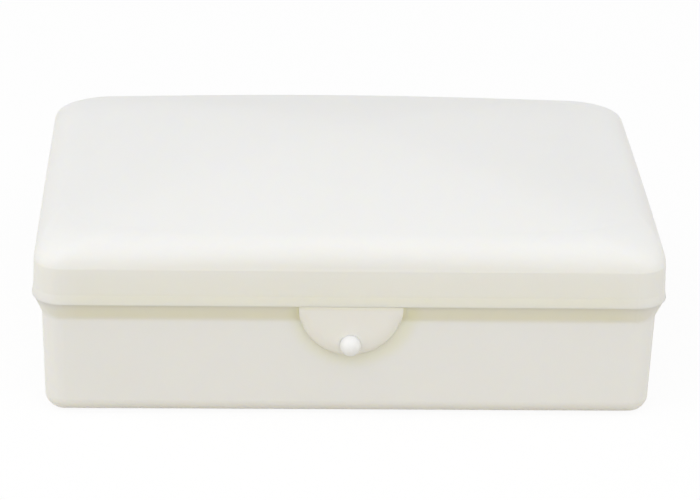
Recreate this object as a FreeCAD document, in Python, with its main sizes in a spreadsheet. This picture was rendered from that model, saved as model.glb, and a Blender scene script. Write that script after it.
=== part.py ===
import FreeCAD, Part
import math
import os
import re
import Sketcher
from FreeCAD import Vector

# Travel soap box: a drafted tray, a crowned lid on a rear pin hinge, and a front tab over a stud.
# Millimetres and degrees. +X runs along the length, -Y is the front, +Z is up, and the origin is
# the middle of the face that the box rests on.

SIZES = {
    # Lid
    "lid_length": 108.0,
    "lid_depth": 71.0,
    "lid_corner": 5.5,
    "lid_wall": 1.75,
    "lid_draft": 2.0,
    "skirt_height": 6.5,
    "shoulder_height": 5.25,
    "crown_pitch": 18.25,
    "crown_power": 1.7,
    "crown_camber": 1.45,
    "corner_swell": 1.4,
    "hip_softness": 0.35,
    "lip_height": 1.8,
    "lip_proud": 0.25,
    "lip_round": 0.2,
    # Tray
    "base_height": 21.4,
    "overhang": 1.6,
    "base_draft": 1.0,
    "base_edge": 2.8,
    "flare_height": 3.1,
    "flare_inset": 0.3,
    "flare_round": 1.2,
    "floor_thick": 1.8,
    "floor_round": 2.0,
    "rim_height": 4.5,
    "rim_wall": 0.95,
    "rim_clearance": 0.45,
    "rim_round": 0.3,
    "seat_gap": 0.1,
    "rib_length": 66.0,
    "rib_width": 1.8,
    "rib_height": 1.6,
    "rib_draft": 6.0,
    "rib_pitch": 11.0,
    "rib_count": 5,
    # Rear hinge
    "hinge_inset": 24.0,
    "pin_radius": 0.9,
    "pin_chamfer": 0.2,
    "pin_grip": 0.02,
    "pin_running": 0.05,
    "knuckle_wall": 1.2,
    "base_knuckle": 8.0,
    "lid_knuckle": 4.0,
    "knuckle_gap": 0.25,
    "hinge_clearance": 0.4,
    # Latch
    "tab_radius": 8.8,
    "tab_thick": 1.3,
    "tab_clearance": 0.15,
    "tab_gap": 0.15,
    "tab_round": 0.7,
    "tab_margin": 0.5,
    "hole_radius": 1.92,
    "stud_drop": 6.3,
    "neck_radius": 1.45,
    "head_radius": 1.8,
    "stud_reach": 2.0,
    "stud_grip": 0.01,
}

# Sizes that follow from the ones above, worked out by the sheet itself
DERIVED = {
    "lid_bottom": "=base_height + seat_gap",
    "shoulder": "=lid_bottom + skirt_height",
    "skirt_x": "=lid_length / 2 - lip_proud",
    "skirt_y": "=lid_depth / 2 - lip_proud",
    "skirt_corner": "=lid_corner - lip_proud",
    "skirt_lean": "=skirt_height * tan(lid_draft * 1deg)",
    "lip_lean": "=atan(tan(lid_draft * 1deg) + lip_proud / lip_height) / 1deg",
    "base_x": "=lid_length / 2 - overhang",
    "base_y": "=lid_depth / 2 - overhang",
    "base_corner": "=lid_corner - overhang",
    "flare_x": "=lid_length / 2 - flare_inset",
    "flare_y": "=lid_depth / 2 - flare_inset",
    "flare_corner": "=lid_corner - flare_inset",
    "flare_lean": "=atan(tan(base_draft * 1deg) + (overhang - flare_inset) / flare_height) / 1deg",
    "rim_top": "=base_height + rim_height",
    "rim_inset": "=lip_proud + lid_wall + rim_clearance",
    "rim_x": "=lid_length / 2 - rim_inset",
    "rim_y": "=lid_depth / 2 - rim_inset",
    "rim_corner": "=lid_corner - rim_inset",
    "well_x": "=rim_x - rim_wall",
    "well_y": "=rim_y - rim_wall",
    "well_corner": "=rim_corner - rim_wall",
    "knuckle_radius": "=pin_radius + knuckle_wall",
    "hinge_x": "=lid_length / 2 - hinge_inset",
    "hinge_offset": "=(knuckle_radius + hinge_clearance) / sqrt(2)",
    "hinge_y": "=lid_depth / 2 + hinge_offset",
    "hinge_z": "=lid_bottom - hinge_offset",
    "swing_radius": "=sqrt(knuckle_radius ^ 2 + hinge_offset ^ 2) + hinge_clearance",
    "pin_length": "=base_knuckle + 2 * (lid_knuckle + knuckle_gap)",
    "lid_knuckle_step": "=(base_knuckle + lid_knuckle) / 2 + knuckle_gap",
    "tab_inner": "=base_y + tab_clearance",
    "tab_y": "=tab_inner + tab_thick / 2",
    "tab_z": "=lid_bottom - tab_gap - tab_thick / 2",
    "stud_z": "=tab_z - stud_drop",
    "stud_tip": "=tab_inner + tab_thick + stud_reach",
    "front_slope": "=tan(crown_pitch * 1deg)",
}

# The lid's form, outside and in. The top of the skirt turns into the crown through an arc, which
# ends at the crown's own pitch: steeper at the front than at the sides, as both meet in one apex.
# Its edges drop a little towards their ends, so its outlines bow. Its corners swell as it leans
# inwards, and the hips go on softening towards the apex.
for face, inset in (("outer", "0"), ("inner", "lid_wall")):
    DERIVED.update({
        f"{face}_top_x": f"=skirt_x - skirt_lean - {inset}",
        f"{face}_top_y": f"=skirt_y - skirt_lean - {inset}",
        f"{face}_corner": f"=skirt_corner - skirt_lean - {inset}",
        f"{face}_shoulder": f"=shoulder_height - {inset} * cos(crown_pitch * 1deg)",
        f"{face}_front_radius": f"={face}_shoulder * sqrt(1 + front_slope ^ 2)",
        f"{face}_front_lean": f"={face}_front_radius - {face}_shoulder * front_slope",
        f"{face}_crown_y": f"={face}_top_y - {face}_front_lean",
        f"{face}_rise": f"=front_slope * {face}_crown_y / crown_power",
        f"{face}_side_slope": f"=crown_power * {face}_rise / ({face}_top_x - {face}_front_lean)",
        f"{face}_side_radius": f"={face}_shoulder * sqrt(1 + {face}_side_slope ^ 2)",
        f"{face}_side_lean": f"={face}_side_radius - {face}_shoulder * {face}_side_slope",
        f"{face}_crown_x": f"={face}_top_x - {face}_side_lean",
        f"{face}_bow": f"={face}_top_x ^ 2 / (2 * crown_camber)",
        f"{face}_swell": f"=(1 + corner_swell) * outer_shoulder / {face}_shoulder - 1",
        f"{face}_crown_corner": f"={face}_corner + {face}_swell * {face}_front_lean",
        f"{face}_hip": f"=hip_softness * ({face}_crown_y - {face}_crown_corner)",
    })

ALIASES = {**SIZES, **DERIVED}

# Outlines along the lid's shoulder and crown, and the share of the crown that its last one keeps
SHOULDER_COUNT = 6
CROWN_COUNT = 6
APEX_SHARE = 0.06
GUSSET_ANGLE = math.radians(45)
# Lengths and volumes closer than this are taken as equal
NEAR = 0.02

doc = FreeCAD.newDocument("soap_box")
sheet = doc.addObject("Spreadsheet::Sheet", "sizes")
for row, (alias, value) in enumerate(ALIASES.items(), start=1):
    sheet.set(f"A{row}", alias)
    sheet.set(f"B{row}", str(value))
    sheet.setAlias(f"B{row}", alias)
doc.recompute()


def size(expression):
    """The present value of an expression in the sheet's aliases."""
    return float(sheet.evalExpression(expression))


def follow(target, path, expression):
    """Ties one property of an object to an expression in the sheet's aliases."""
    def linked(match):
        return f"sizes.{match[0]}" if match[0] in ALIASES else match[0]
    target.setExpression(path, re.sub(r"[a-z_]+", linked, expression))


def new_body(label):
    body = doc.addObject("PartDesign::Body", label)
    body.Label = label
    return body


def sketch_on(body, name, role, offset="0"):
    """An empty sketch on one of the body's own planes, moved along that plane's normal."""
    sketch = body.newObject("Sketcher::SketchObject", name)
    plane = next(item for item in body.Origin.OriginFeatures if item.Role == role)
    sketch.AttachmentSupport = [(plane, "")]
    sketch.MapMode = "FlatFace"
    follow(sketch, "AttachmentOffset.Base.z", offset)
    return sketch


def dimension(sketch, expression, kind, *where):
    """A driving dimension that follows the sheet."""
    index = sketch.addConstraint(Sketcher.Constraint(kind, *where, size(expression)))
    follow(sketch, f"Constraints[{index}]", expression)


def relate(sketch, *constraints):
    for kind, *where in constraints:
        sketch.addConstraint(Sketcher.Constraint(kind, *where))


def line(sketch, start, end):
    return sketch.addGeometry(Part.LineSegment(Vector(*start), Vector(*end)))


def arc(sketch, centre, radius, start, end):
    circle = Part.Circle(Vector(*centre), Vector(0, 0, 1), radius)
    return sketch.addGeometry(Part.ArcOfCircle(circle, start, end))


def circle_at(sketch, across, up, radius):
    """A full circle, placed by its centre's distances from the sketch's origin."""
    where = Vector(size(across), size(up))
    ring = sketch.addGeometry(Part.Circle(where, Vector(0, 0, 1), size(radius)))
    dimension(sketch, across, "DistanceX", -1, 1, ring, 3)
    dimension(sketch, up, "DistanceY", -1, 1, ring, 3)
    dimension(sketch, radius, "Radius", ring)


def add_rounded(sketch, half_x, half_y, corner):
    """Adds a rounded rectangle about the sketch's origin: four corner arcs and four sides."""
    x, y, r = size(half_x), size(half_y), size(corner)
    centres = [(x - r, y - r), (r - x, y - r), (r - x, r - y), (x - r, r - y)]
    quarter = math.pi / 2
    arcs = [arc(sketch, c, r, k * quarter, (k + 1) * quarter) for k, c in enumerate(centres)]
    ends = [(x - r, y), (-x, y - r), (r - x, -y), (x, r - y)]
    starts = [(r - x, y), (-x, r - y), (x - r, -y), (x, y - r)]
    sides = [line(sketch, a, b) for a, b in zip(ends, starts)]
    join_smoothly(sketch, arcs, sides, corner)
    for k, side in enumerate(sides):
        relate(sketch, ("Vertical" if k % 2 else "Horizontal", side))
    dimension(sketch, half_x, "DistanceX", -1, 1, arcs[0], 1)
    dimension(sketch, half_y, "DistanceY", -1, 1, arcs[1], 1)
    dimension(sketch, half_x, "DistanceX", arcs[2], 1, -1, 1)
    dimension(sketch, half_y, "DistanceY", arcs[3], 1, -1, 1)


def add_bowed(sketch, half_x, half_y, corner, bow):
    """Adds a rounded rectangle whose sides bow outwards, on four arcs of one large radius."""
    x, y, r, large = size(half_x), size(half_y), size(corner), size(bow)
    across, up = large - x, large - y
    apart = math.hypot(across, up)
    reach = math.sqrt((large - r) ** 2 - apart ** 2 / 4) / apart
    cx, cy = up * reach - across / 2, across * reach - up / 2
    low, high = math.atan2(cy, cx + across), math.atan2(cy + up, cx)
    arcs = [
        arc(sketch, (cx, cy), r, low, high),
        arc(sketch, (-cx, cy), r, math.pi - high, math.pi - low),
        arc(sketch, (-cx, -cy), r, math.pi + low, math.pi + high),
        arc(sketch, (cx, -cy), r, -high, -low),
    ]
    sides = [
        arc(sketch, (0, -up), large, high, math.pi - high),
        arc(sketch, (across, 0), large, math.pi - low, math.pi + low),
        arc(sketch, (0, up), large, math.pi + high, 2 * math.pi - high),
        arc(sketch, (-across, 0), large, -low, low),
    ]
    join_smoothly(sketch, arcs, sides, corner)
    for k, side in enumerate(sides):
        relate(sketch, ("PointOnObject", side, 3, -1 if k % 2 else -2))
    for other in sides[1:]:
        relate(sketch, ("Equal", sides[0], other))
    dimension(sketch, bow, "Radius", sides[0])
    dimension(sketch, f"{bow} - ({half_y})", "DistanceY", sides[0], 3, -1, 1)
    dimension(sketch, f"{bow} - ({half_x})", "DistanceX", -1, 1, sides[1], 3)
    dimension(sketch, f"{bow} - ({half_y})", "DistanceY", -1, 1, sides[2], 3)
    dimension(sketch, f"{bow} - ({half_x})", "DistanceX", sides[3], 3, -1, 1)


def join_smoothly(sketch, arcs, sides, corner):
    """Joins four equal corner arcs and four sides into one smooth outline."""
    for k, side in enumerate(sides):
        relate(sketch, ("Tangent", arcs[k], 2, side, 1), ("Tangent", side, 2, arcs[(k + 1) % 4], 1))
    for other in arcs[1:]:
        relate(sketch, ("Equal", arcs[0], other))
    dimension(sketch, corner, "Radius", arcs[0])


def outline(body, name, height, half_x, half_y, corner, bow=None):
    """A level outline about the Z axis, with straight sides or with bowed ones."""
    sketch = sketch_on(body, name, "XY_Plane", height)
    if bow:
        add_bowed(sketch, half_x, half_y, corner, bow)
    else:
        add_rounded(sketch, half_x, half_y, corner)
    return sketch


def finish(feature):
    """Works a feature out, and stops at the first one that fails."""
    doc.recompute()
    if not feature.isValid() or feature.Shape.isNull() or not feature.Shape.isValid():
        raise RuntimeError(f"{feature.Name} failed: {feature.getStatusString()}")


def extrude(body, kind, name, sketch, length, symmetric=False, reverse=False, taper="0"):
    """A pad or a pocket, which has to change the body's volume."""
    before = body.Shape.Volume if body.Tip else 0
    feature = body.newObject(f"PartDesign::{kind}", name)
    feature.Profile = sketch
    feature.SideType = "Symmetric" if symmetric else "One side"
    feature.Reversed = reverse
    follow(feature, "Length", length)
    follow(feature, "TaperAngle", f"{taper} * 1deg")
    finish(feature)
    if abs(body.Shape.Volume - before) < NEAR:
        raise RuntimeError(f"{name} changes nothing")
    return feature


def fillet(body, name, radius, wanted):
    """Rounds every edge that the test picks."""
    base = body.Tip
    names = [f"Edge{i}" for i, edge in enumerate(base.Shape.Edges, start=1) if wanted(edge)]
    feature = body.newObject("PartDesign::Fillet", name)
    feature.Base = (base, names)
    follow(feature, "Radius", radius)
    finish(feature)


def at_height(height):
    """A test for edges that lie flat at one height."""
    z = size(height)
    return lambda edge: max(abs(edge.BoundBox.ZMin - z), abs(edge.BoundBox.ZMax - z)) < NEAR


def steps(first, last, count):
    """Evenly spaced numbers from the first to the last."""
    return [first + (last - first) * k / (count - 1) for k in range(count)]


def loft(body, kind, name, outlines):
    feature = body.newObject(f"PartDesign::{kind}Loft", name)
    feature.Profile = outlines[0]
    feature.Sections = outlines[1:]
    finish(feature)


def crowned_form(body, kind, face, inset):
    """The lid's form, added or cut away: drafted skirt, round shoulder and hipped crown."""
    foot = outline(body, f"{face}_foot", "lid_bottom",
                   f"skirt_x - {inset}", f"skirt_y - {inset}", f"skirt_corner - {inset}")
    cut = kind == "Subtractive"
    extrude(body, "Pocket" if cut else "Pad", f"{face}_skirt", foot, "skirt_height",
            reverse=cut, taper="-lid_draft")
    rings = []
    for k, share in enumerate(steps(0, 1, SHOULDER_COUNT)):
        height = f"{face}_shoulder * sin({share} * 90deg)"
        drops = [f"sqrt({face}_{way}_radius ^ 2 - ({height}) ^ 2)" for way in ("side", "front")]
        side, front = f"({face}_side_radius - {drops[0]})", f"({face}_front_radius - {drops[1]})"
        rings.append(outline(body, f"{face}_ring_{k}", f"shoulder + {height}",
                             f"{face}_top_x - {side}",
                             f"{face}_top_y - {front}",
                             f"{face}_corner + {face}_swell * {front}",
                             f"{face}_bow * {drops[1]} / ({height})" if k else None))
    loft(body, kind, f"{face}_shoulder_loft", rings)
    contours = rings[-1:]
    for k, share in enumerate(steps(1, APEX_SHARE, CROWN_COUNT)[1:]):
        contours.append(outline(
            body, f"{face}_contour_{k}",
            f"shoulder + {face}_shoulder + {face}_rise * (1 - {share} ^ crown_power)",
            f"{face}_crown_x * {share}",
            f"{face}_crown_y * {share}",
            f"({face}_crown_corner + {face}_hip * (1 - {share})) * {share}",
            f"{face}_bow * front_slope * {share}"))
    loft(body, kind, f"{face}_crown_loft", contours)


def knuckle(body, name, station, width, wall, up):
    """A hinge barrel with a gusset to the wall that carries it, above the axis or below it."""
    sketch = sketch_on(body, f"{name}_profile", "YZ_Plane", station)
    y, z, r = size("hinge_y"), size("hinge_z"), size("knuckle_radius")
    root = "hinge_z + hinge_offset" if up > 0 else "hinge_z - hinge_offset"
    wall_y, root_z = size(wall), size(root)
    slope = up * GUSSET_ANGLE
    touch = (y + r * math.cos(slope), z + r * math.sin(slope))
    corner = (wall_y, touch[1] + (touch[0] - wall_y) / math.tan(slope))
    turn = (math.pi, 2 * math.pi + slope) if up > 0 else (slope, math.pi)
    drop_end, gusset_end = (1, 2) if up > 0 else (2, 1)
    barrel = arc(sketch, (y, z), r, *turn)
    gusset = line(sketch, touch, corner)
    side = line(sketch, corner, (wall_y, root_z))
    step = line(sketch, (wall_y, root_z), (y - r, root_z))
    drop = line(sketch, (y - r, root_z), (y - r, z))
    relate(sketch,
           ("Tangent", barrel, gusset_end, gusset, 1),
           ("Coincident", gusset, 2, side, 1),
           ("Coincident", side, 2, step, 1),
           ("Coincident", step, 2, drop, 1),
           ("Tangent", drop, 2, barrel, drop_end),
           ("Vertical", side),
           ("Horizontal", step),
           ("Vertical", drop),
           ("Angle", gusset, up * (math.pi / 2 + GUSSET_ANGLE)))
    dimension(sketch, "hinge_y", "DistanceX", -1, 1, barrel, 3)
    dimension(sketch, "hinge_z", "DistanceY", -1, 1, barrel, 3)
    dimension(sketch, "knuckle_radius", "Radius", barrel)
    dimension(sketch, wall, "DistanceX", -1, 1, side, 2)
    dimension(sketch, root, "DistanceY", -1, 1, side, 2)
    extrude(body, "Pad", name, sketch, width, symmetric=True)


def pin_bore(body, clearance):
    """The bore through all of a shell's knuckles."""
    sketch = sketch_on(body, "bore_circle", "YZ_Plane")
    circle_at(sketch, "hinge_y", "hinge_z", f"pin_radius + {clearance}")
    extrude(body, "Pocket", "bore", sketch, "lid_length", symmetric=True)


def build_lid():
    """The lid: crowned shell, its lower edge turned out to a lip, and two knuckles at each hinge."""
    body = new_body("lid")
    band = outline(body, "lip_band", "lid_bottom", "lid_length / 2", "lid_depth / 2", "lid_corner")
    extrude(body, "Pad", "lip", band, "lip_height + lip_proud", taper="-lip_lean")
    fillet(body, "lip_edge", "lip_round", at_height("lid_bottom"))
    crowned_form(body, "Additive", "outer", "0")
    crowned_form(body, "Subtractive", "inner", "lid_wall")
    for side, sign in (("left", "-1"), ("right", "1")):
        for place, step in (("inner", "-1"), ("outer", "1")):
            station = f"{sign} * (hinge_x + {step} * lid_knuckle_step)"
            knuckle(body, f"knuckle_{side}_{place}", station, "lid_knuckle", "skirt_y - lid_wall / 2", 1)
    pin_bore(body, "pin_running")
    return body


def build_base_tray():
    """The tray: drafted well, flared seat and rim, soap ribs, hinge knuckles and the stud's hole."""
    body = new_body("base_tray")
    ledge = outline(body, "ledge", "base_height", "base_x", "base_y", "base_corner")
    extrude(body, "Pad", "wall", ledge, "base_height", reverse=True, taper="-base_draft")
    flared_seat(body)
    fillet(body, "bottom_edge", "base_edge", at_height("0"))
    rim_ring = outline(body, "rim_ring", "base_height", "rim_x", "rim_y", "rim_corner")
    extrude(body, "Pad", "rim", rim_ring, "rim_height")
    mouth = outline(body, "mouth", "rim_top", "well_x", "well_y", "well_corner")
    extrude(body, "Pocket", "well", mouth, "rim_top - floor_thick", taper="-base_draft")
    fillet(body, "well_edge", "floor_round", at_height("floor_thick"))
    fillet(body, "rim_edge", "rim_round", at_height("rim_top"))
    soap_ribs(body)
    for side, sign in (("left", "-1"), ("right", "1")):
        station = f"{sign} * hinge_x"
        knuckle(body, f"knuckle_{side}", station, "base_knuckle", "(base_y + well_y) / 2", -1)
    pin_bore(body, "pin_grip")
    stud_hole = sketch_on(body, "stud_hole_circle", "XZ_Plane")
    circle_at(stud_hole, "0", "stud_z", "neck_radius + stud_grip")
    extrude(body, "Pocket", "stud_hole", stud_hole, "lid_depth", reverse=True)
    return body


def flared_seat(body):
    """The wall flares out under the lid's lip, with room for the tab and the lid's knuckles."""
    ring = outline(body, "flare_ring", "base_height", "flare_x", "flare_y", "flare_corner")
    extrude(body, "Pad", "flare", ring, "flare_height + flare_round", reverse=True, taper="-flare_lean")
    fillet(body, "flare_root", "flare_round", at_height("base_height - flare_height"))
    notch = sketch_on(body, "tab_notch_circle", "XZ_Plane", "base_y")
    circle_at(notch, "0", "tab_z", "tab_radius + tab_margin")
    extrude(body, "Pocket", "tab_notch", notch, "overhang", reverse=True)
    for side, sign in (("left", "-1"), ("right", "1")):
        swing = sketch_on(body, f"swing_circle_{side}", "YZ_Plane", f"{sign} * hinge_x")
        circle_at(swing, "hinge_y", "hinge_z", "swing_radius")
        extrude(body, "Pocket", f"swing_{side}", swing, "pin_length + 2 * hinge_clearance", symmetric=True)


def soap_ribs(body):
    """Long round-ended ribs that keep the soap off the wet floor."""
    sketch = sketch_on(body, "rib_slot", "XY_Plane", "floor_thick")
    half, r = size("(rib_length - rib_width) / 2"), size("rib_width / 2")
    y = size("-rib_pitch * (rib_count - 1) / 2")
    near = line(sketch, (-half, y - r), (half, y - r))
    right = arc(sketch, (half, y), r, -math.pi / 2, math.pi / 2)
    far = line(sketch, (half, y + r), (-half, y + r))
    left = arc(sketch, (-half, y), r, math.pi / 2, 3 * math.pi / 2)
    relate(sketch,
           ("Tangent", near, 2, right, 1),
           ("Tangent", right, 2, far, 1),
           ("Tangent", far, 2, left, 1),
           ("Tangent", left, 2, near, 1),
           ("Horizontal", near),
           ("Equal", left, right))
    dimension(sketch, "rib_width / 2", "Radius", right)
    dimension(sketch, "(rib_length - rib_width) / 2", "DistanceX", -1, 1, right, 3)
    dimension(sketch, "(rib_length - rib_width) / 2", "DistanceX", left, 3, -1, 1)
    dimension(sketch, "rib_pitch * (rib_count - 1) / 2", "DistanceY", right, 3, -1, 1)
    rib = extrude(body, "Pad", "rib", sketch, "rib_height", taper="-rib_draft")
    row = body.newObject("PartDesign::LinearPattern", "rib_row")
    row.Originals = [rib]
    row.Direction = (next(item for item in body.Origin.OriginFeatures if item.Role == "Y_Axis"), [""])
    follow(row, "Length", "rib_pitch * (rib_count - 1)")
    follow(row, "Occurrences", "rib_count")
    body.Tip = row
    finish(row)


def build_latch_tab():
    """The tab: a half disc with a hole for the stud and a round root along the flexing line."""
    body = new_body("latch_tab")
    sketch = sketch_on(body, "half_disc", "XZ_Plane", "tab_inner")
    z, r = size("tab_z"), size("tab_radius")
    rim = arc(sketch, (0, z), r, math.pi, 2 * math.pi)
    root = line(sketch, (r, z), (-r, z))
    relate(sketch,
           ("Coincident", rim, 2, root, 1),
           ("Coincident", root, 2, rim, 1),
           ("Horizontal", root),
           ("PointOnObject", rim, 3, root),
           ("PointOnObject", rim, 3, -2))
    dimension(sketch, "tab_z", "DistanceY", -1, 1, rim, 3)
    dimension(sketch, "tab_radius", "Radius", rim)
    extrude(body, "Pad", "flap", sketch, "tab_thick")
    fillet(body, "flap_edge", "tab_round", on_flap_rim)
    roll = sketch_on(body, "root_circle", "YZ_Plane")
    circle_at(roll, "-tab_y", "tab_z", "tab_thick / 2")
    extrude(body, "Pad", "root_roll", roll, "2 * (tab_radius - tab_round)", symmetric=True)
    eye = sketch_on(body, "eye_circle", "XZ_Plane")
    circle_at(eye, "0", "stud_z", "hole_radius")
    extrude(body, "Pocket", "eye", eye, "lid_depth", reverse=True)
    return body


def on_flap_rim(edge):
    """True for the round edge of the tab's outer face."""
    face = -size("tab_inner + tab_thick")
    return edge.Curve.TypeId == "Part::GeomCircle" and abs(edge.BoundBox.YMax - face) < NEAR


def build_latch_stud():
    """The stud: a plain neck through the tray's wall and the tab, and a ball for a head."""
    body = new_body("latch_stud")
    sketch = sketch_on(body, "stud_profile", "YZ_Plane")
    follow(sketch, "AttachmentOffset.Base.y", "stud_z")
    tip, inner = -size("stud_tip"), -size("well_y")
    head, neck = size("head_radius"), size("neck_radius")
    meet = math.asin(neck / head)
    ball = arc(sketch, (tip + head, 0), head, meet, math.pi)
    side = line(sketch, (tip + head + head * math.cos(meet), neck), (inner, neck))
    end = line(sketch, (inner, neck), (inner, 0))
    core = line(sketch, (inner, 0), (tip, 0))
    relate(sketch,
           ("Coincident", ball, 1, side, 1),
           ("Coincident", side, 2, end, 1),
           ("Coincident", end, 2, core, 1),
           ("Coincident", core, 2, ball, 2),
           ("Horizontal", side),
           ("Vertical", end),
           ("PointOnObject", core, 1, -1),
           ("PointOnObject", core, 2, -1),
           ("PointOnObject", ball, 3, -1))
    dimension(sketch, "head_radius", "Radius", ball)
    dimension(sketch, "neck_radius", "DistanceY", end, 2, end, 1)
    dimension(sketch, "stud_tip", "DistanceX", core, 2, -1, 1)
    dimension(sketch, "well_y", "DistanceX", core, 1, -1, 1)
    turn = body.newObject("PartDesign::Revolution", "stud")
    turn.Profile = sketch
    turn.ReferenceAxis = (sketch, ["H_Axis"])
    turn.Angle = 360
    finish(turn)
    return body


def build_hinge_pin(side, sign):
    """One hinge pin, a plain wire with chamfered ends."""
    body = new_body(f"hinge_pin_{side}")
    sketch = sketch_on(body, f"pin_circle_{side}", "YZ_Plane")
    circle_at(sketch, "0", "0", "pin_radius")
    wire = extrude(body, "Pad", f"pin_{side}", sketch, "pin_length", symmetric=True)
    ends = body.newObject("PartDesign::Chamfer", f"pin_ends_{side}")
    rings = [f"Edge{i}" for i, edge in enumerate(wire.Shape.Edges, start=1) if edge.isClosed()]
    ends.Base = (wire, rings)
    follow(ends, "Size", "pin_chamfer")
    finish(ends)
    follow(body, "Placement.Base.x", f"{sign} * hinge_x")
    follow(body, "Placement.Base.y", "hinge_y")
    follow(body, "Placement.Base.z", "hinge_z")
    doc.recompute()
    return body


bodies = [
    build_base_tray(),
    build_lid(),
    build_latch_tab(),
    build_latch_stud(),
    build_hinge_pin("left", "-1"),
    build_hinge_pin("right", "1"),
]

for item in doc.Objects:
    if {"Invalid", "Error"} & set(item.State):
        raise RuntimeError(f"{item.Name} failed: {item.State}")
for body in bodies:
    if body.Shape.isNull() or not body.Shape.isValid() or len(body.Shape.Solids) != 1:
        raise RuntimeError(f"{body.Label} is not one valid solid")

os.makedirs("parts", exist_ok=True)
for body in bodies:
    body.Shape.exportStep(f"parts/{body.Label}.step")
    print(f"{body.Label}: {body.Shape.Volume:.1f} mm3, {body.Shape.BoundBox}")
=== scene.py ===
# %% [markdown]
# A travel soap box, moulded in ivory polyethylene, with a crowned lid, a rear pin hinge and a
# half-round front tab that buttons over a white stud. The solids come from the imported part, at
# their real size and place. They could be modelled again here, but the fits and joints depend on
# them, so this lesson keeps them and gives them their finish, light and camera. Only the soft tab
# and some thin trim are modelled anew.

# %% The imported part
import math

import bpy
from mathutils import Matrix, Vector


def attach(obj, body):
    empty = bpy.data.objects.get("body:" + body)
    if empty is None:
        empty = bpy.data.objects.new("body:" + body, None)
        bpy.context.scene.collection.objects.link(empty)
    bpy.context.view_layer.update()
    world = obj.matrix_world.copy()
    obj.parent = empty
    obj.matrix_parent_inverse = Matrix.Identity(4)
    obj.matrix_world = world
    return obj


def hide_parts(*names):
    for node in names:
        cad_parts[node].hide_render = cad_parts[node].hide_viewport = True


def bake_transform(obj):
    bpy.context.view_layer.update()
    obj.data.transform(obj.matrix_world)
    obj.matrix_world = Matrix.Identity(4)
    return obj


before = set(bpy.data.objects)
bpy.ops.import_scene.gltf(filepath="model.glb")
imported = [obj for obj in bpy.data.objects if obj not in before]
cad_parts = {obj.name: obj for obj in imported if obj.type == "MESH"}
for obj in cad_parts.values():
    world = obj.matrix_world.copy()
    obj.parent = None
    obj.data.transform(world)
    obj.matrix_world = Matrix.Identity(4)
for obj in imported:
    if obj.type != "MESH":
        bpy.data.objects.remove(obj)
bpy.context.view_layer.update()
scene = bpy.context.scene
scene.view_settings.view_transform = "Standard"
bpy.ops.object.select_all(action="DESELECT")
print("nodes:", sorted(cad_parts))

# %% [markdown]
# The camera stands where the photographer stood: in front, a little to the left, and looking down
# by about 25 degrees. It could be dragged into place by eye. Here it is written as an aim point, a
# distance and three angles, because those can be read off a picture one at a time. The lens is
# long, so the box keeps nearly parallel sides.

# %% Camera
MM = 0.001
IMAGE_WIDTH = 700
FOCAL_PIXELS = 2799.0
SENSOR_WIDTH = 36
NEAREST_VIEW = 10 * MM
CAMERA_AIM = Vector((1.16, 0.0, 15.7)) * MM
CAMERA_DISTANCE = 505.8 * MM
CAMERA_AZIMUTH = math.radians(-2.71)
CAMERA_ELEVATION = math.radians(24.98)
CAMERA_ROLL = math.radians(1.58)


def way_out(azimuth, elevation):
    """The way from the box out to a place around it: azimuth 0 is in front, more is to the right."""
    return Vector((math.sin(azimuth) * math.cos(elevation),
                   -math.cos(azimuth) * math.cos(elevation),
                   math.sin(elevation)))


def camera_turn(azimuth, elevation, roll):
    """The camera's rotation, from its way round the box, its height and its tilt."""
    back = way_out(azimuth, elevation)
    right = Vector((math.cos(azimuth), math.sin(azimuth), 0))
    level = Matrix((right, back.cross(right), back)).transposed()
    return level @ Matrix.Rotation(roll, 3, "Z")


bpy.ops.object.camera_add()
camera = bpy.context.object
turn = camera_turn(CAMERA_AZIMUTH, CAMERA_ELEVATION, CAMERA_ROLL)
camera.matrix_world = Matrix.LocRotScale(CAMERA_AIM + turn.col[2] * CAMERA_DISTANCE, turn, None)
camera.data.sensor_width = SENSOR_WIDTH
camera.data.lens = FOCAL_PIXELS * SENSOR_WIDTH / IMAGE_WIDTH
camera.data.clip_start = NEAREST_VIEW
scene.camera = camera
print("lens:", round(camera.data.lens, 1), "mm")

# %% [markdown]
# Shader maths reads best as sums. The class below wraps one output of a node, so that an
# expression such as 1 - mask adds the Math node by itself. Every other node comes from one method,
# add, which takes the node's type, its settings and what goes into its sockets. Linking the nodes
# one by one would give the same tree, but a formula is easier to check at a glance.

# %% Shader sums
class Wire:
    """One output of a shader node, which can be used in sums."""

    def __init__(self, socket):
        self.socket = socket

    @staticmethod
    def add(tree, kind, settings=None, inputs=None, output=0):
        """Adds a node, sets it up, fills its sockets and returns one of its outputs."""
        node = tree.nodes.new(kind)
        for name, value in (settings or {}).items():
            setattr(node, name, value)
        for name, value in (inputs or {}).items():
            if isinstance(value, Wire):
                tree.links.new(value.socket, node.inputs[name])
            else:
                node.inputs[name].default_value = value
        return Wire(node.outputs[output])

    def math(self, operation, first, second):
        """Adds a Math node on two values to the tree that this wire is in."""
        tree = self.socket.id_data
        return Wire.add(tree, "ShaderNodeMath", {"operation": operation}, {0: first, 1: second})

    def __add__(self, other):
        return self.math("ADD", self, other)

    def __radd__(self, other):
        return self.math("ADD", other, self)

    def __sub__(self, other):
        return self.math("SUBTRACT", self, other)

    def __rsub__(self, other):
        return self.math("SUBTRACT", other, self)

    def __mul__(self, other):
        return self.math("MULTIPLY", self, other)

    def __rmul__(self, other):
        return self.math("MULTIPLY", other, self)


# %% [markdown]
# Every finish starts alike, with a Principled shader and the place on the object, which a pattern
# reads so that it stays put when the camera moves. The noise and the mixes of colour that all of
# the finishes use could be added by hand in each. Small helpers keep the finishes short instead.
# Colours go through a Mix node, because a Math node would turn them grey.

# %% Helpers for finishes
# A Mix node has sockets for numbers, vectors and colours under the same names, so these go by number
MIX_SHARE, MIX_FIRST, MIX_SECOND, MIX_RESULT = 0, 6, 7, 2


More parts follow.
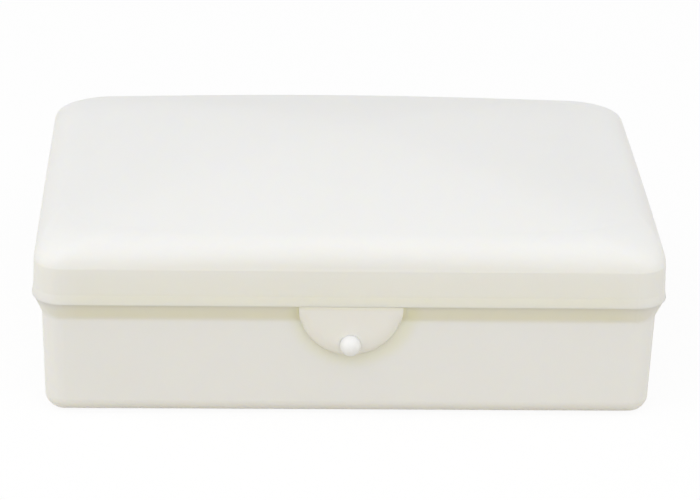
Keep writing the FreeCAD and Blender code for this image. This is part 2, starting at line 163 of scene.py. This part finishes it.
def new_finish(name):
    """A material with a Principled shader, its node tree and its place on the object."""
    material = bpy.data.materials.new(name)
    material.use_nodes = True
    tree = material.node_tree
    place = Wire.add(tree, "ShaderNodeTexCoord", output="Object")
    return material, tree, tree.nodes["Principled BSDF"], place


def noise(tree, place, scale, detail=2.0):
    """Soft noise from 0 to 1, with so many patches to the metre."""
    return Wire.add(tree, "ShaderNodeTexNoise", None,
                    {"Vector": place, "Scale": scale, "Detail": detail}, "Fac")


def blend_colours(tree, share, first, second, way="MIX"):
    """Lays a share of the second colour over the first."""
    return Wire.add(tree, "ShaderNodeMix", {"data_type": "RGBA", "blend_type": way},
                    {MIX_SHARE: share, MIX_FIRST: first, MIX_SECOND: second}, MIX_RESULT)


def feed(shader, **inputs):
    """Links wires to the shader and sets its plain numbers and colours."""
    for name, value in inputs.items():
        socket = shader.inputs[name.replace("_", " ")]
        if isinstance(value, Wire):
            shader.id_data.links.new(value.socket, socket)
        else:
            socket.default_value = value


# %% [markdown]
# The shells are polyethylene, which is never quite opaque: light goes a little way in and comes out
# warmer, so shaded places are yellowish and not grey. A warmer colour would tint the bright places
# as well, so subsurface scattering gives the warmth. The colour drifts slightly where the melt
# cooled at different rates, and the surface has the fine grain of a mould that was never polished,
# which breaks the gloss into a satin sheen.

# %% Ivory polyethylene
WARM_IVORY = (0.865, 0.857, 0.825, 1)
PALE_IVORY = (0.885, 0.88, 0.855, 1)
# Patches to the metre
DRIFT_SCALE, RIPPLE_SCALE, GRAIN_SCALE = 38.0, 240.0, 2400.0
RELIEF_HEIGHT, RELIEF_STRENGTH = 0.1 * MM, 0.12
SATIN, SATIN_SPREAD = 0.44, 0.1
SHELL_LIGHT_DEPTH = 3 * MM


def ivory_polyethylene(name, painted_shades, depth=SHELL_LIGHT_DEPTH):
    """The shells' plastic, with the painted shade that lies over it and how deep the light goes in."""
    material, tree, shader, place = new_finish(name)
    drift = noise(tree, place, DRIFT_SCALE, detail=3.0)
    colour = blend_colours(tree, drift, WARM_IVORY, PALE_IVORY)
    # Each mask lays its painted shade over the plastic's colour
    for mask, shade_colour in painted_shades(tree, place):
        colour = blend_colours(tree, mask, colour, shade_colour, "MULTIPLY")
    grain = noise(tree, place, GRAIN_SCALE)
    ripple = noise(tree, place, RIPPLE_SCALE, detail=1.0)
    relief = Wire.add(tree, "ShaderNodeBump", None,
                      {"Strength": RELIEF_STRENGTH, "Distance": RELIEF_HEIGHT,
                       "Height": 0.6 * grain + 0.8 * ripple}, "Normal")
    feed(shader, Base_Color=colour, Roughness=SATIN + SATIN_SPREAD * grain, Normal=relief,
         Subsurface_Weight=0.35, Subsurface_Radius=(1.0, 0.85, 0.5), Subsurface_Scale=depth,
         IOR=1.5)
    return material


# %% [markdown]
# Around the seam the colour of both shells is painted darker and yellower, as painted shade round the
# edge of the lid's skirt, where it lies over the tray's rim. Around the tab the wall gets a ring of
# painted shadow. Both could be painted by hand, but a mask worked out from the place on the object
# stays sharp at any size, so each shell gets masks of its own. They rise softly over a span of
# millimetres.

# %% Masks by place
# Towards the ends of the box, over this span, the painted shade fades, where more light reaches the
# corners
CORNER_SPAN, CORNER_LOSS = (44, 53), 0.8


def fade_in(tree, value, span):
    """0 below the span, 1 above it, and a soft rise within it. The span is in millimetres."""
    start, end = span
    return Wire.add(tree, "ShaderNodeMapRange", {"interpolation_type": "SMOOTHSTEP"},
                    {"Value": value, "From Min": start * MM, "From Max": end * MM})


def coordinate(tree, place, axis):
    """One coordinate of the place on the object."""
    return Wire.add(tree, "ShaderNodeSeparateXYZ", None, {"Vector": place}, axis)


def far_out(tree, place, axis, span):
    """0 in the middle of the box, and 1 beyond the span on both sides of one axis."""
    along = coordinate(tree, place, axis)
    return fade_in(tree, along.math("ABSOLUTE", along, 0), span)


def between_corners(tree, place):
    """1 along the front and back, and less towards the ends."""
    return 1 - CORNER_LOSS * far_out(tree, place, "X", CORNER_SPAN)


# %% [markdown]
# The lid's skirt gets painted shade, its lip most of all, while the crown stays pale. The tab takes
# little of it. These could be three materials, but one mask that changes with the height lets them
# run into each other, as they do in one moulding.

# %% Painted shade on the lid
# The colour that painted shade darkens the skirt, the lip, the tab and the tray's seat towards
PAINTED_SHADE = (0.945, 0.925, 0.79, 1)
SKIRT_TOP, LIP_TOP, TAB_TOP = (24, 32), (22.8, 24), (20.6, 21.6)
TAB_SHARE, SKIRT_SHARE, LIP_SHARE = 0.15, 0.25, 0.35


def lid_painted_shade(tree, place):
    """Painted shade on the skirt, most of all on its lip, and less on the tab."""
    height = coordinate(tree, place, "Z")
    skirt = 1 - fade_in(tree, height, SKIRT_TOP)
    above_tab = fade_in(tree, height, TAB_TOP)
    lip = 1 - fade_in(tree, height, LIP_TOP)
    share = TAB_SHARE + above_tab * (SKIRT_SHARE + LIP_SHARE * lip)
    return [(share * skirt * between_corners(tree, place), PAINTED_SHADE)]


# %% [markdown]
# The tray gets painted shade where its seat flares out under the lid, and only on the outside. Around
# the tab there is a faint ring of painted shadow. It could follow the tab's outline point by point,
# but the outline is round, so the distance from the middle of the tab's root is enough. Y is left out
# of that distance, which makes the ring round as seen from the front.

# %% Painted shade on the tray
# The colour of the painted shadow around the tab
PAINTED_TAB_SHADOW = (0.97, 0.965, 0.83, 1)
TAB_ROOT = 20.7 * MM
TAB_RADIUS = 8.8 * MM
SEAT_RISE = (17.6, 19.2)
END_WALL, LONG_WALL = (51.6, 52.3), (33.2, 33.8)
FRONT_WALL = (-33.8, -33.3)
# The ring of painted shadow, in millimetres outwards from the tab's edge, and a little to the right of
# it
RING_RISE, RING_FALL = (-2.5, -0.3), (0.6, 3.4)
RING_MIDDLE = (0.6 * MM, 0, TAB_ROOT)
RING_SHARE = 0.85


def tray_painted_shade(tree, place):
    """Painted shade on the flared seat under the lid, and a ring of painted shadow around the tab."""
    height = coordinate(tree, place, "Z")
    outside = far_out(tree, place, "X", END_WALL)
    outside = outside.math("MAXIMUM", outside, far_out(tree, place, "Y", LONG_WALL))
    seat = fade_in(tree, height, SEAT_RISE) * between_corners(tree, place) * outside
    flat = Wire.add(tree, "ShaderNodeVectorMath", {"operation": "MULTIPLY"}, {0: place, 1: (1, 0, 1)})
    reach = Wire.add(tree, "ShaderNodeVectorMath", {"operation": "DISTANCE"},
                     {0: flat, 1: RING_MIDDLE}, "Value")
    past_edge = reach - TAB_RADIUS
    ring = fade_in(tree, past_edge, RING_RISE) * (1 - fade_in(tree, past_edge, RING_FALL))
    front = 1 - fade_in(tree, coordinate(tree, place, "Y"), FRONT_WALL)
    return [(seat, PAINTED_SHADE), (RING_SHARE * ring * front, PAINTED_TAB_SHADOW)]


# %% [markdown]
# One plastic looks different in a thick wall and in a thin one. Light leaks out of a piece that is
# thinner than the way the light goes in, and leaves it grey. The tab and the trim could share the
# shells' finishes only if they were as thick, so each gets one of its own, with less depth.

# %% Ivory finishes
TAB_LIGHT_DEPTH, TRIM_LIGHT_DEPTH = 0.4 * MM, 0.3 * MM

ivory_lid = ivory_polyethylene("ivory_lid", lid_painted_shade)
ivory_tab = ivory_polyethylene("ivory_tab", lid_painted_shade, TAB_LIGHT_DEPTH)
ivory_tray = ivory_polyethylene("ivory_tray", tray_painted_shade)
ivory_trim = ivory_polyethylene("ivory_trim", tray_painted_shade, TRIM_LIGHT_DEPTH)
for finish in (ivory_lid, ivory_tab, ivory_tray, ivory_trim):
    print(finish.name, "nodes:", len(finish.node_tree.nodes))

# %% [markdown]
# The stud is a different, whiter plastic than the shells, and its ball head has worn smooth from
# the tab snapping over it. The wear could be a bump, but it is finer than anything that a bump
# shows at this size, so one noise varies the white and the gloss together.

# %% White stud plastic
DULL_WHITE = (0.86, 0.865, 0.87, 1)
CLEAN_WHITE = (0.89, 0.895, 0.9, 1)
WEAR_SCALE = 700.0
STUD_LIGHT_DEPTH = 2 * MM


def white_plastic():
    """The stud's plastic, worn in small patches."""
    material, tree, shader, place = new_finish("white_plastic")
    patches = noise(tree, place, WEAR_SCALE)
    colour = blend_colours(tree, patches, DULL_WHITE, CLEAN_WHITE)
    feed(shader, Base_Color=colour, Roughness=0.28 + 0.12 * patches, Subsurface_Weight=0.2,
         Subsurface_Radius=(1.0, 0.9, 0.8), Subsurface_Scale=STUD_LIGHT_DEPTH)
    return material


white = white_plastic()
print(white.name, "nodes:", len(white.node_tree.nodes))

# %% [markdown]
# The hinge pins are drawn wire. Drawing leaves fine lines along the wire. A wave texture would make
# them too even, so noise is stretched along X, the way the pins run, by a Mapping node.

# %% Drawn wire
DARK_STEEL = (0.5, 0.5, 0.49, 1)
BRIGHT_STEEL = (0.68, 0.68, 0.66, 1)
LINE_SCALE = 6000.0
LINE_STRETCH = (0.02, 1, 1)


def drawn_wire():
    """The pins' steel, with lines along its length."""
    material, tree, shader, place = new_finish("drawn_wire")
    stretched = Wire.add(tree, "ShaderNodeMapping", None, {"Vector": place, "Scale": LINE_STRETCH})
    lines = noise(tree, stretched, LINE_SCALE, detail=3.0)
    colour = blend_colours(tree, lines, DARK_STEEL, BRIGHT_STEEL)
    feed(shader, Base_Color=colour, Metallic=1.0, Roughness=0.22 + 0.25 * lines)
    return material


steel = drawn_wire()
print(steel.name, "nodes:", len(steel.node_tree.nodes))

# %% [markdown]
# The solids stay as they were packed, because their shapes are right and their fits depend on them.
# Each only gets its finish, in its material slot.

# %% Finishes on the solids
FINISHES = {
    "base_tray": ivory_tray,
    "lid": ivory_lid,
    "latch_tab": ivory_lid,
    "latch_stud": white,
    "hinge_pin_left": steel,
    "hinge_pin_right": steel,
}
for name, finish in FINISHES.items():
    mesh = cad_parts[name].data
    mesh.materials.clear()
    mesh.materials.append(finish)
    print(name, "triangles:", len(mesh.polygons))

# %% [markdown]
# The pieces that follow are small, and each is shaped from a block. Working by place is the safest
# way without a screen: a test on the coordinates picks the points, as a box select would by hand.

# %% Shaping by place
import bmesh

NEAR = 0.01 * MM


def block(name, low, high):
    """A box between two corners in millimetres, left open in edit mode."""
    low, high = Vector(low) * MM, Vector(high) * MM
    bpy.ops.object.select_all(action="DESELECT")
    bpy.ops.mesh.primitive_cube_add(size=1)
    piece = bpy.context.object
    piece.name = name
    bpy.ops.object.mode_set(mode="EDIT")
    bpy.ops.transform.resize(value=high - low)
    bpy.ops.transform.translate(value=(low + high) / 2)
    return piece


def pick(piece, test):
    """Selects just the points in edit mode that the test picks by their place."""
    bpy.ops.mesh.select_all(action="DESELECT")
    mesh = bmesh.from_edit_mesh(piece.data)
    for point in mesh.verts:
        point.select = test(point.co)
    mesh.select_flush(True)
    bmesh.update_edit_mesh(piece.data)


# %% [markdown]
# On the real box the tab is moulded in one piece with the lid. It is a soft half disc, flat in the
# middle and rounded off towards its rim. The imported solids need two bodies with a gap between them,
# so this piece stands in for the solid tab. A round shape like this could be a cylinder with a large
# bevel, but spinning its cross-section by half a turn lets the rounding follow a formula.

# %% Half disc of the tab
TAB_BACK, TAB_FRONT = -34.05, -35.35
# The rim rounds off over its last stretch, on a quarter of an ellipse down to its edge
RIM_START, RIM_EDGE = 6.2, -34.16
RIM_STEPS = 6
TAB_STEPS = 64
# Half the thickness of the slice that is cut down to the cross-section
SLICE = 0.5
MERGE = 0.001 * MM


def rim_outline():
    """Radius from the middle of the root, and the front face there, in millimetres."""
    outline = []
    for step in range(RIM_STEPS + 1):
        angle = math.radians(90) * step / RIM_STEPS
        radius = RIM_START + (TAB_RADIUS / MM - RIM_START) * math.sin(angle)
        outline.append((radius, RIM_EDGE + (TAB_FRONT - RIM_EDGE) * math.cos(angle)))
    return outline


def cross_section(outline):
    """A slice of the tab straight below the middle of its root, kept as one flat face."""
    root = TAB_ROOT / MM
    tab = block("soft_tab", (-SLICE, TAB_FRONT, root - outline[-1][0]), (SLICE, TAB_BACK, root))
    for radius, _ in outline[:-1]:
        bpy.ops.mesh.select_all(action="SELECT")
        bpy.ops.mesh.bisect(plane_co=(0, 0, TAB_ROOT - radius * MM), plane_no=(0, 0, 1))
    for radius, face in outline:
        height = TAB_ROOT - radius * MM
        pick(tab, lambda p: abs(p.z - height) < NEAR and abs(p.y - TAB_FRONT * MM) < NEAR)
        bpy.ops.transform.translate(value=(0, (face - TAB_FRONT) * MM, 0))
    pick(tab, lambda p: p.x < 0)
    bpy.ops.mesh.delete(type="VERT")
    bpy.ops.mesh.select_all(action="SELECT")
    bpy.ops.transform.translate(value=(-SLICE * MM, 0, 0))
    return tab


def half_disc():
    """Turns the slice to one side of the root and spins it round to the other."""
    tab = cross_section(rim_outline())
    middle = (0, 0, TAB_ROOT)
    bpy.ops.transform.rotate(value=math.radians(-90), orient_axis="Y", center_override=middle)
    bpy.ops.mesh.spin(steps=TAB_STEPS, angle=math.radians(180), center=middle, axis=(0, 1, 0))
    bpy.ops.mesh.select_all(action="SELECT")
    bpy.ops.mesh.remove_doubles(threshold=MERGE)
    bpy.ops.mesh.normals_make_consistent(inside=False)
    return tab


tab = half_disc()
print("half disc:", len(bmesh.from_edit_mesh(tab.data).faces), "faces")

# %% [markdown]
# The tab lies against the tray's front wall, which leans back a little downwards, so the half disc
# leans with it and its rim comes close to the wall. Next to the root the rim would be too thin to
# carry the tab, and a real mould leaves it thicker there. Sculpting could do both. Moving rows of
# points by their place keeps the two sides alike.

# %% Fit of the half disc
WALL_DRAFT = math.radians(1)
# How far the back of the rim comes towards the wall, from which radius on, and how far below the root
RIM_SEAT, RIM_SEAT_RADIUS, RIM_SEAT_DROP = 0.1, 8.4, 1.0
# The share of the rounding that is left at the root, and over how many steps of the spin it comes back
ROOT_SHARE, THICK_STEPS, THICK_EASE = 0.15, 6, 1.5


def from_root(point):
    """How far a point lies from the middle of the root, seen from the front."""
    return math.hypot(point.x, point.z - TAB_ROOT)


def thicken_sides(tab):
    """Keeps the rim thick beside the root."""
    step = math.pi / TAB_STEPS
    for count in range(THICK_STEPS):
        share = ROOT_SHARE + (1 - ROOT_SHARE) * (count / THICK_STEPS) ** THICK_EASE
        pick(tab, lambda p: p.y < TAB_BACK * MM - NEAR and from_root(p) > NEAR
             and abs(math.atan2(TAB_ROOT - p.z, abs(p.x)) - count * step) < step / 2)
        bpy.ops.transform.resize(value=(1, share, 1), center_override=(0, TAB_FRONT * MM, 0))


def lean_on_wall(tab):
    """Brings the back of the rim close to the tray's wall and leans the tab as the wall leans."""
    pick(tab, lambda p: p.y > TAB_BACK * MM - NEAR and p.z < TAB_ROOT - RIM_SEAT_DROP * MM
         and from_root(p) > RIM_SEAT_RADIUS * MM)
    bpy.ops.transform.translate(value=(0, RIM_SEAT * MM, 0))
    bpy.ops.mesh.select_all(action="SELECT")
    bpy.ops.transform.rotate(value=-WALL_DRAFT, orient_axis="X",
                             center_override=(0, TAB_BACK * MM, TAB_ROOT))


thicken_sides(tab)
lean_on_wall(tab)
print("rim seated by", RIM_SEAT, "mm")

# %% [markdown]
# The tab bends along its root, where the plastic is thinner. The root reaches up into the lid's lip.
# A separate strip would show a seam, so the upper face of the half disc is extruded level by level,
# and the level of the bend is thinned from behind.

# %% Bending root of the tab
# Heights above the floor, each over the one before, and the front face there, in millimetres
ROOT_LEVELS = [(21.0, -35.38), (21.2, -35.4), (21.35, -35.4), (21.5, -35.38), (21.75, -35.42)]
ROOT_BEND = 21.35
ROOT_MIDDLE = -34.6
BEND_THINNING = 0.5
# The lean has tilted the upper face of the half disc by more than NEAR
TILT_ROOM = 3 * NEAR


def extrude_root(tab):
    """Draws the root upwards from the half disc and thins it at the bend."""
    below, front_below = TAB_ROOT / MM, TAB_FRONT
    for height, front in ROOT_LEVELS:
        pick(tab, lambda p: abs(p.z - below * MM) < TILT_ROOM)
        rise = (0, 0, (height - below) * MM)
        bpy.ops.mesh.extrude_region_move(TRANSFORM_OT_translate={"value": rise})
        bpy.ops.transform.resize(value=(1, 1, 0), center_override=(0, 0, height * MM))
        pick(tab, lambda p: abs(p.z - height * MM) < NEAR and p.y < ROOT_MIDDLE * MM)
        bpy.ops.transform.translate(value=(0, (front - front_below) * MM, 0))
        below, front_below = height, front
    pick(tab, lambda p: abs(p.z - ROOT_BEND * MM) < NEAR and p.y > ROOT_MIDDLE * MM)
    bpy.ops.transform.translate(value=(0, -BEND_THINNING * MM, 0))
    bpy.ops.object.mode_set(mode="OBJECT")


extrude_root(tab)
print("with its root:", len(tab.data.polygons), "faces")

# %% [markdown]
# Round holes along Y are needed twice, in the tab and beside it. By hand they could be inset and
# deleted, but a Boolean modifier with a cutter in the shape of the hole keeps the walls closed. The
# cutter is thrown away afterwards.

# %% Cutting one shape from another
BORE_MIDDLE, BORE_LENGTH = -34.5 * MM, 3 * MM


def subtract(piece, cutter):
    """Cuts the second object's shape out of the first, and throws the cutter away."""
    bpy.ops.object.select_all(action="DESELECT")
    bpy.context.view_layer.objects.active = piece
    piece.select_set(True)
    hole = piece.modifiers.new("hole", "BOOLEAN")
    hole.operation, hole.object, hole.solver = "DIFFERENCE", cutter, "EXACT"
    bpy.ops.object.modifier_apply(modifier=hole.name)
    bpy.data.objects.remove(cutter)


def bore(piece, height, radius, sides):
    """Cuts a round hole along Y through the front of the box, at a height above the floor."""
    bpy.ops.object.select_all(action="DESELECT")
    bpy.ops.mesh.primitive_cylinder_add(vertices=sides, radius=radius, depth=BORE_LENGTH,
                                        location=(0, BORE_MIDDLE, height),
                                        rotation=(math.radians(90), 0, 0))
    subtract(piece, bpy.context.object)


# %% [markdown]
# The eye is tighter than the ball that it buttons over and stretches as it passes, which a solid
# can't do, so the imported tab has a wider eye. Here it is cut by the ball itself, a hair larger, and
# by a hole for the neck behind it, so the tab lies close round the ball.

# %% Eye of the tab
STUD_AXIS = 14.4 * MM
BALL_CENTRE = -35.55 * MM
BALL_RADIUS = 1.82 * MM
NECK_RADIUS = 1.5 * MM
EYE_SIDES, EYE_RINGS = 72, 48
SMOOTH_BELOW = math.radians(35)


def cut_eye(tab):
    """Cuts the seat of the ball and the hole for its neck."""
    bpy.ops.object.select_all(action="DESELECT")
    bpy.ops.mesh.primitive_uv_sphere_add(segments=EYE_SIDES, ring_count=EYE_RINGS,
                                         radius=BALL_RADIUS, location=(0, BALL_CENTRE, STUD_AXIS),
                                         rotation=(math.radians(90), 0, 0))
    subtract(tab, bpy.context.object)
    bore(tab, STUD_AXIS, NECK_RADIUS, EYE_SIDES)
    bpy.ops.object.shade_smooth_by_angle(angle=SMOOTH_BELOW)


cut_eye(tab)
tab.data.materials.append(ivory_tab)
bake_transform(tab)
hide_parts("latch_tab")
print("soft tab:", len(tab.data.polygons), "faces")

# %% [markdown]
# The box is alike on both sides of the tab. A Mirror modifier could make both sides of a piece in one
# mesh, but two pieces that don't touch are easier to check as two objects. So each is modelled once,
# on the right, and its copy is mirrored and has its faces turned outwards again.

# %% Copies for the other side
def mirrored(piece, name):
    """A copy of a piece on the other side of the box."""
    bpy.ops.object.select_all(action="DESELECT")
    piece.select_set(True)
    bpy.ops.object.duplicate()
    twin = bpy.context.object
    twin.name = name
    bpy.ops.object.mode_set(mode="EDIT")
    bpy.ops.mesh.select_all(action="SELECT")
    bpy.ops.transform.resize(value=(-1, 1, 1), center_override=(0, 0, 0))
    bpy.ops.mesh.normals_make_consistent(inside=False)
    bpy.ops.object.mode_set(mode="OBJECT")
    return twin


def join_tray(piece, name):
    """Gives a tray piece its finish, adds its mirrored twin and lets both ride on the base."""
    piece.data.materials.append(ivory_trim)
    for side in (piece, mirrored(piece, name)):
        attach(side, "base")
        print(side.name, "faces:", len(side.data.polygons))


# %% [markdown]
# The tray's flared seat stops short of the tab, to give it room, and the solid ends there in sharp
# cut faces. On a moulded tray that end is filled and rounded up to the tab. It could be sculpted, but
# a small wedge has the right edges from the start: a block is cut back by the slope of the seat and
# bored to the round of the tab.

# %% Ends of the flared seat
SEAT_TOP, SEAT_FRONT, SEAT_BACK = 21.37, -35.17, -33.7
# The slope of the flared seat: how far it drops while it steps back
SEAT_DROP, SEAT_STEP = 3.1, 1.3
WEDGE_NEAR, WEDGE_FAR, WEDGE_HEIGHT = 8.3, 9.45, 3.4
# The round that the wedges leave free for the tab
TAB_ROOM, TAB_ROOM_SIDES = 8.83 * MM, 160
EDGE_ROUND, EDGE_STEPS, EDGE_ABOVE = 0.05 * MM, 2, math.radians(40)


def soften(piece):
    """Rounds the sharp edges of a finished shape and smooths its shading."""
    bevel = piece.modifiers.new("soft_edges", "BEVEL")
    bevel.width, bevel.segments, bevel.angle_limit = EDGE_ROUND, EDGE_STEPS, EDGE_ABOVE
    bpy.ops.object.modifier_apply(modifier=bevel.name)
    bpy.ops.object.shade_smooth_by_angle(angle=EDGE_ABOVE)


def seat_end():
    """The wedge to the right of the tab."""
    wedge = block("seat_end_right", (WEDGE_NEAR, SEAT_FRONT, SEAT_TOP - WEDGE_HEIGHT),
                  (WEDGE_FAR, SEAT_BACK, SEAT_TOP))
    slope = Vector((0, -SEAT_DROP, -SEAT_STEP)).normalized()
    bpy.ops.mesh.select_all(action="SELECT")
    bpy.ops.mesh.bisect(plane_co=Vector((0, SEAT_FRONT, SEAT_TOP)) * MM, plane_no=slope,
                        clear_outer=True, use_fill=True)
    bpy.ops.object.mode_set(mode="OBJECT")
    bore(wedge, TAB_ROOT, TAB_ROOM, TAB_ROOM_SIDES)
    soften(wedge)
    return wedge


join_tray(seat_end(), "seat_end_left")

# %% [markdown]
# The lid closes down on the tray's seat, and the solids leave a hair of space there so that they
# never touch. Seen from the front that space is a hard black line, where the real seam is a soft
# one, because the plastic beds in. A low bead on the seat closes it. It is half of a rounded frame:
# a flat block with its corners bevelled, inset above and below, bridged, and cut so that it runs from
# the tab along the front and the side. At the back the hinge needs the room.

# %% Bead on the seat
BEAD_LOW, BEAD_HIGH, BEAD_WIDTH = 21.38, 21.49, 0.6
BEAD_X, BEAD_Y, BEAD_CORNER = 53.71, 35.21, 5.2
BEAD_START = 9.3
CORNER_STEPS = 16
FACES_UP = 0.9


def rounded_frame():
    """A flat frame round the seat, with rounded corners, left open in edit mode."""
    frame_piece = block("seat_bead_right", (-BEAD_X, -BEAD_Y, BEAD_LOW), (BEAD_X, BEAD_Y, BEAD_HIGH))
    bpy.ops.mesh.select_mode(type="EDGE")
    for edge in bmesh.from_edit_mesh(frame_piece.data).edges:
        first, second = edge.verts
        edge.select_set((first.co - second.co).xy.length < NEAR)
    bpy.ops.mesh.bevel(offset=BEAD_CORNER * MM, segments=CORNER_STEPS)
    bpy.ops.mesh.select_mode(type="FACE")
    for face in bmesh.from_edit_mesh(frame_piece.data).faces:
        face.select_set(abs(face.normal.z) > FACES_UP)
    bpy.ops.mesh.inset(thickness=BEAD_WIDTH * MM, use_even_offset=True)
    bpy.ops.mesh.bridge_edge_loops()
    bpy.ops.mesh.select_mode(type="VERT")
    return frame_piece


def seat_bead():
    """The part of the frame from the tab along the front and the right side."""
    bead = rounded_frame()
    beside_tab = ((BEAD_START, 0, 0), (-1, 0, 0))
    before_hinge = ((0, BEAD_Y - BEAD_CORNER, 0), (0, 1, 0))
    for place, away in (beside_tab, before_hinge):
        bpy.ops.mesh.select_all(action="SELECT")
        bpy.ops.mesh.bisect(plane_co=Vector(place) * MM, plane_no=away, clear_outer=True,
                            use_fill=True)
    bpy.ops.object.mode_set(mode="OBJECT")
    bpy.ops.object.shade_smooth_by_angle(angle=SMOOTH_BELOW)
    return bead


join_tray(seat_bead(), "seat_bead_left")

# %% [markdown]
# The box stands on a white floor. A white that comes from more light would also bleach the box, so
# what the camera sees of the floor is nearly pure white through Light Path, with a little of the
# box's shadow left in it. The light that the floor throws back on the box is that of a plain warm
# table.

# %% Floor
FLOOR_SIZE = 8.0
FLOOR_SHADOW = 0.1
FLOOR_BOUNCE = (0.69, 0.65, 0.56, 1)
PURE_WHITE = (1, 1, 1, 1)
SEEN_RAYS = ("Is Camera Ray", "Is Glossy Ray", "Is Transmission Ray")


def bare_background(tree):
    """1 for rays that come from the camera, or from it by a mirror or through glass."""
    seen, *others = [Wire.add(tree, "ShaderNodeLightPath", output=name) for name in SEEN_RAYS]
    for other in others:
        seen = seen.math("MAXIMUM", seen, other)
    return seen


def floor_finish():
    """Bright paper where it is seen, and a plain warm table for the light that it throws back."""
    material = bpy.data.materials.new("studio_floor")
    material.use_nodes = True
    tree = material.node_tree
    tree.nodes.remove(tree.nodes["Principled BSDF"])
    paper = Wire.add(tree, "ShaderNodeBsdfDiffuse", None, {"Color": PURE_WHITE})
    glow = Wire.add(tree, "ShaderNodeEmission", None, {"Color": PURE_WHITE, "Strength": 1.0})
    table = Wire.add(tree, "ShaderNodeBsdfDiffuse", None, {"Color": FLOOR_BOUNCE})
    bright = Wire.add(tree, "ShaderNodeMixShader", None, {0: 1 - FLOOR_SHADOW, 1: paper, 2: glow})
    mixed = Wire.add(tree, "ShaderNodeMixShader", None,
                     {0: bare_background(tree), 1: table, 2: bright})
    tree.links.new(mixed.socket, tree.nodes["Material Output"].inputs["Surface"])
    return material


bpy.ops.mesh.primitive_plane_add(size=FLOOR_SIZE)
floor = bpy.context.object
floor.name = "floor"
floor.data.materials.append(floor_finish())
print("floor:", FLOOR_SIZE, "m wide")

# %% [markdown]
# The light is an even sky and four large softboxes: one to each side, one in front and one high up.
# A single lamp would leave a hard spot on the crown, where wide ones leave a broad, soft sheen. Each
# lamp is given by its angles round the box, as on a lighting plan, and it faces the box.

# %% Sky and lamps
SKY = 0.532
LAMP_DISTANCE = 0.9
# Azimuth and elevation in degrees, width in metres and power in watts
LAMPS = {
    "left_softbox": (-75, 35, 1.1, 3.12),
    "right_softbox": (75, 35, 1.1, 2.1),
    "front_softbox": (0, 35, 1.0, 1.3),
    "high_softbox": (0, 60, 1.0, 1.25),
}


def light_sky(strength):
    """An even sky of one strength that looks pure white where it is seen."""
    world = bpy.data.worlds.new("studio_sky")
    scene.world = world
    world.use_nodes = True
    tree = world.node_tree
    shine = tree.nodes["Background"]
    shine.inputs["Color"].default_value = PURE_WHITE
    seen = bare_background(tree)
    tree.links.new((strength + (1 - strength) * seen).socket, shine.inputs["Strength"])


light_sky(SKY)
for name, (azimuth, elevation, width, watts) in LAMPS.items():
    place = way_out(math.radians(azimuth), math.radians(elevation)) * LAMP_DISTANCE
    facing = (CAMERA_AIM - place).to_track_quat("-Z", "Y").to_euler()
    bpy.ops.object.light_add(type="AREA", location=place, rotation=facing)
    lamp = bpy.context.object
    lamp.name = name
    lamp.data.size = width
    lamp.data.energy = watts
    print(name, "power:", watts, "W")
